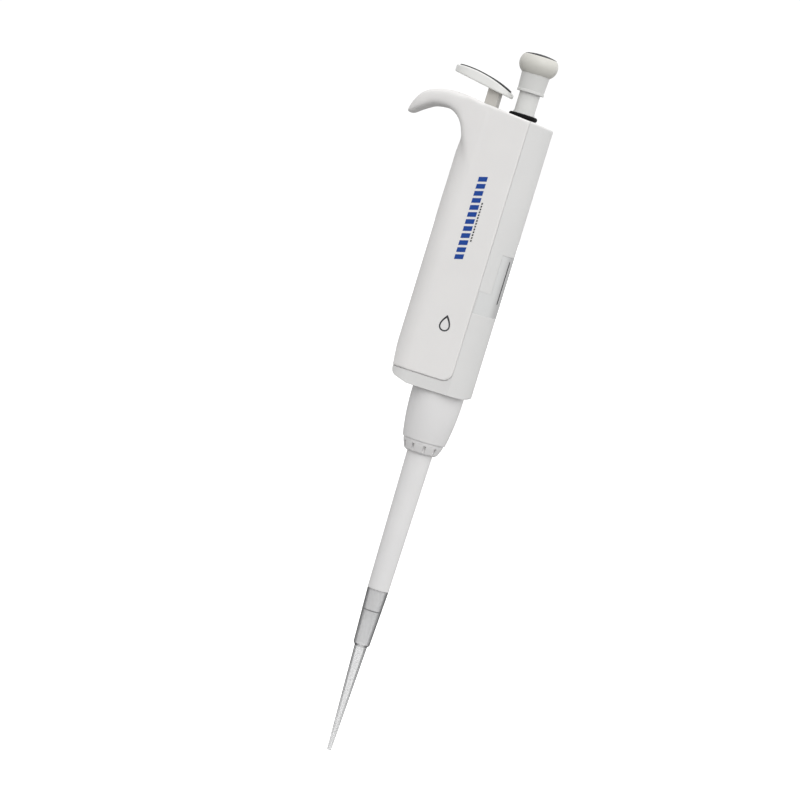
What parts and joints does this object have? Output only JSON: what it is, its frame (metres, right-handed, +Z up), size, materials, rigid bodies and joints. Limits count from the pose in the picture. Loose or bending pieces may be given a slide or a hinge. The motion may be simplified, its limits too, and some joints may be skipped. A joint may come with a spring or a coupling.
{
  "type": "adjustable micropipette",
  "caption": "Hand-held air-displacement micropipette with a finger hook, turn-and-press thumb button, separate ejector button, volume window and a fitted disposable tip.",
  "frame": {"origin": "centre of the fitted tip's orifice, the lowest point", "axes": "+Z up the piston axis to the thumb button, +X to the volume window, -X to the finger hook, flat flanks facing +Y and -Y"},
  "size_m": [0.061, 0.0266, 0.3033],
  "materials": {
    "shell_plastic": "satin moulded plastic",
    "panel_plastic": "fine satin texture",
    "clear_plastic": "clear polycarbonate",
    "black_plastic": "satin black",
    "bush_plastic": "satin",
    "black_rubber": "satin black rubber",
    "mechanism_plastic": "moulded acetal",
    "brass": "turned",
    "spring_steel": "drawn wire",
    "steel": "turned",
    "polished_steel": "polished",
    "shaft_plastic": "smooth",
    "seal_plastic": "smooth fluoropolymer",
    "drum_plastic": "smooth white with printed digits",
    "button_plastic": "smooth",
    "inlay_grey": "dark grey satin",
    "foot_plastic": "satin",
    "tip_plastic": "translucent polypropylene"
  },
  "bodies": {
    "handle": {"handle_shell": "shell_plastic", "grip_cover": "panel_plastic", "window_lens": "clear_plastic", "display_bezel": "black_plastic", "top_bush": "bush_plastic", "collar_ring": "black_rubber", "hub_bearing": "bush_plastic", "counter_frame": "mechanism_plastic", "volume_nut": "brass", "click_spring": "spring_steel", "spring_housing": "mechanism_plastic", "housing_circlip": "spring_steel", "primary_spring": "spring_steel", "blowout_spring": "spring_steel", "ejector_spring": "spring_steel", "cylinder_shaft": "shaft_plastic", "cylinder_nut": "mechanism_plastic", "piston_seal": "seal_plastic", "seal_o_ring": "black_rubber", "seal_retainer": "mechanism_plastic"},
    "volume_hub": {"drive_hub": "mechanism_plastic", "units_drum": "drum_plastic"},
    "tens": {"tens_drum": "drum_plastic"},
    "hundreds": {"hundreds_drum": "drum_plastic"},
    "thousands": {"thousands_drum": "drum_plastic"},
    "volume_carriage": {"volume_screw": "steel"},
    "plunger": {"thumb_button": "button_plastic", "button_inlay": "inlay_grey", "button_skirt": "button_plastic", "drive_sleeve": "button_plastic", "plunger_rod": "steel", "stop_collar": "steel", "piston": "polished_steel"},
    "blowout_stop": {"blowout_washer": "steel"},
    "ejector": {"ejector_button": "button_plastic", "ejector_inlay": "inlay_grey", "ejector_stem": "button_plastic", "ejector_rod": "steel", "rod_clip": "spring_steel", "ejector_foot": "foot_plastic", "lock_ring": "foot_plastic", "ejector_sleeve": "foot_plastic"},
    "tip": {"pipette_tip": "tip_plastic"}
  },
  "joints": [
    {"name": "volume_turn", "type": "hinge", "parent": "handle", "child": "volume_hub", "pos_m": [0, 0, 0.2], "axis": [0, 0, 1], "range_deg": [0, 3600]},
    {"name": "tens_turn", "type": "hinge", "parent": "handle", "child": "tens", "pos_m": [0, 0, 0.2], "axis": [0, 0, 1], "range_deg": [0, 1800]},
    {"name": "hundreds_turn", "type": "hinge", "parent": "handle", "child": "hundreds", "pos_m": [0, 0, 0.2], "axis": [0, 0, 1], "range_deg": [0, 180]},
    {"name": "thousands_turn", "type": "hinge", "parent": "handle", "child": "thousands", "pos_m": [0, 0, 0.2], "axis": [0, 0, 1], "range_deg": [0, 36]},
    {"name": "volume_lift", "type": "slide", "parent": "volume_hub", "child": "volume_carriage", "axis": [0, 0, 1], "range_m": [0, 0.00705]},
    {"name": "plunger_press", "type": "slide", "parent": "volume_carriage", "child": "plunger", "axis": [0, 0, -1], "range_m": [0, 0.009], "stiffness_N_per_m": 200, "springref_m": -0.01, "deforming": ["primary_spring"]},
    {"name": "blowout_travel", "type": "slide", "parent": "handle", "child": "blowout_stop", "axis": [0, 0, -1], "range_m": [0, 0.002], "deforming": ["blowout_spring"]},
    {"name": "ejector_press", "type": "slide", "parent": "handle", "child": "ejector", "axis": [0, 0, -1], "range_m": [0, 0.0055], "stiffness_N_per_m": 150, "springref_m": -0.01, "deforming": ["ejector_spring"]},
    {"name": "tip_drop", "type": "slide", "parent": "ejector", "child": "tip", "axis": [0, 0, -1], "range_m": [0, 0.012]}
  ],
  "couplings": [
    {"joint": "tens_turn", "follows": "volume_turn", "ratio": 0.5},
    {"joint": "hundreds_turn", "follows": "volume_turn", "ratio": 0.05},
    {"joint": "thousands_turn", "follows": "volume_turn", "ratio": 0.01},
    {"joint": "volume_lift", "follows": "volume_turn", "m_per_rad": 0.0001122},
    {"joint": "blowout_travel", "follows": "plunger_press", "ratio": 0.2222}
  ]
}
